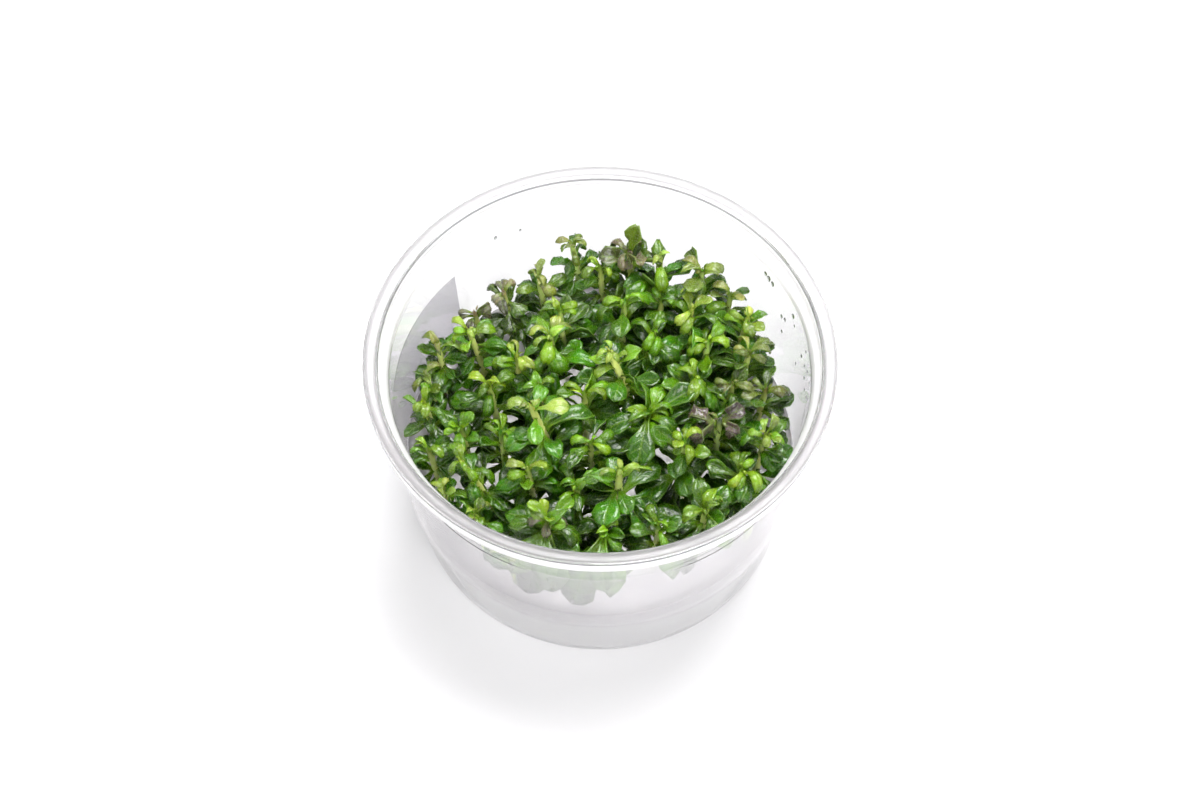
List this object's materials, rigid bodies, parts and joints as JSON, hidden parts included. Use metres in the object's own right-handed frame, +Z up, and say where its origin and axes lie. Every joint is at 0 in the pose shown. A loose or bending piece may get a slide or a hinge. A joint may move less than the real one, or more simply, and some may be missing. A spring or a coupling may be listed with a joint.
{
  "type": "tissue culture plant cup",
  "caption": "Clear open taper cup with a rolled rim, holding a layer of gel and a dense stand of young leafy marsh plants, with a blank film label round one side",
  "frame": {"origin": "centre of the flat ring that the cup stands on", "axes": "+Z up along the cup's axis; -Y towards the front of the picture, +X to its right"},
  "size_m": [0.1, 0.1, 0.0607],
  "materials": {
    "clear_plastic": "clear thin moulded plastic, glossy",
    "culture_gel": "milky clear agar gel, wet",
    "label_film": "blank translucent white film",
    "leaf_green": "living green leaf, waxy sheen",
    "leaf_bronze": "olive to purple-brown leaf, waxy sheen"
  },
  "bodies": {
    "root": {"cup": "clear_plastic", "gel": "culture_gel", "side_label": "label_film", "shoot_01": "leaf_green", "shoot_02": "leaf_green", "shoot_03": "leaf_green", "shoot_04": "leaf_bronze", "shoot_05": "leaf_bronze", "shoot_06": "leaf_green", "shoot_07": "leaf_green", "shoot_08": "leaf_green", "shoot_09": "leaf_green", "shoot_10": "leaf_green", "shoot_11": "leaf_green", "shoot_12": "leaf_bronze", "shoot_13": "leaf_green", "shoot_14": "leaf_bronze", "shoot_15": "leaf_green", "shoot_16": "leaf_green", "shoot_17": "leaf_green", "shoot_18": "leaf_green", "shoot_19": "leaf_green", "shoot_20": "leaf_green", "shoot_21": "leaf_green", "shoot_22": "leaf_green", "shoot_23": "leaf_bronze", "shoot_24": "leaf_green", "shoot_25": "leaf_green", "shoot_26": "leaf_green", "shoot_27": "leaf_green", "shoot_28": "leaf_green", "shoot_29": "leaf_green", "shoot_30": "leaf_green", "shoot_31": "leaf_green", "shoot_32": "leaf_bronze", "shoot_33": "leaf_green", "shoot_34": "leaf_green", "shoot_35": "leaf_green", "shoot_36": "leaf_green", "shoot_37": "leaf_green", "shoot_38": "leaf_green", "shoot_39": "leaf_green", "shoot_40": "leaf_bronze", "shoot_41": "leaf_green", "shoot_42": "leaf_green", "shoot_43": "leaf_green", "shoot_44": "leaf_bronze", "shoot_45": "leaf_green", "shoot_46": "leaf_green", "shoot_47": "leaf_green", "shoot_48": "leaf_green", "shoot_49": "leaf_green", "shoot_50": "leaf_green", "shoot_51": "leaf_green", "shoot_52": "leaf_bronze"}
  },
  "joints": []
}
